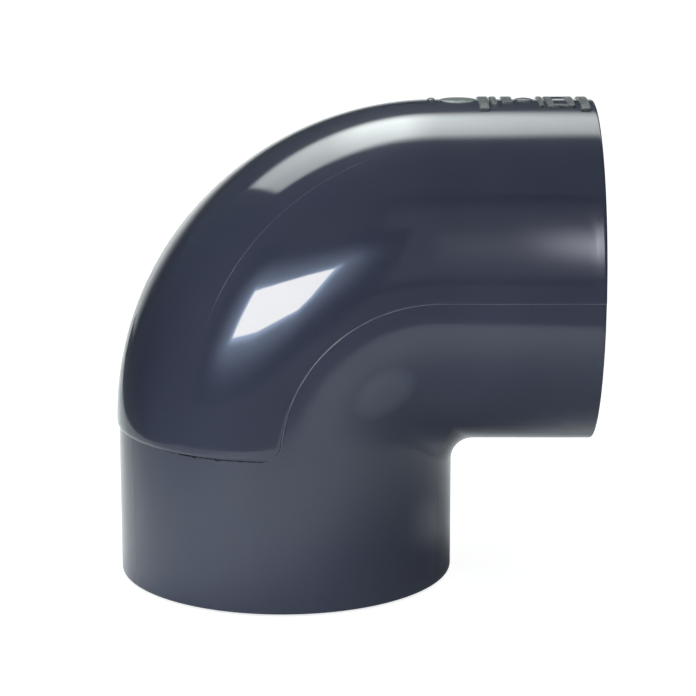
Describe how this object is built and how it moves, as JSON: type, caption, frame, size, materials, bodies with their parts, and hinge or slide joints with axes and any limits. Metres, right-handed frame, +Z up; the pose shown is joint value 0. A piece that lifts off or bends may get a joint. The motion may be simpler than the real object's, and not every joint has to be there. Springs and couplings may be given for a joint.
{
  "type": "conduit elbow",
  "caption": "Short-radius 90 degree PVC elbow with a plain solvent socket at each end, for joining 63 mm rigid conduit round a corner.",
  "frame": {"origin": "centre of the lower socket's mouth, on the plane that the elbow stands on", "axes": "+Z up along the lower socket's axis, +X out along the side socket's axis, +Y across the elbow"},
  "size_m": [0.1098, 0.0786, 0.1103],
  "materials": {
    "polished_pvc": "gloss",
    "satin_pvc": "satin"
  },
  "bodies": {
    "root": {"lower_shell": "satin_pvc", "upper_shell": "polished_pvc", "raised_dot": "polished_pvc", "raised_oval_pad": "polished_pvc", "raised_wide_bars": "polished_pvc", "raised_slim_bars": "polished_pvc", "raised_low_oval": "polished_pvc", "raised_frame": "polished_pvc", "raised_end_bar": "polished_pvc"}
  },
  "joints": []
}
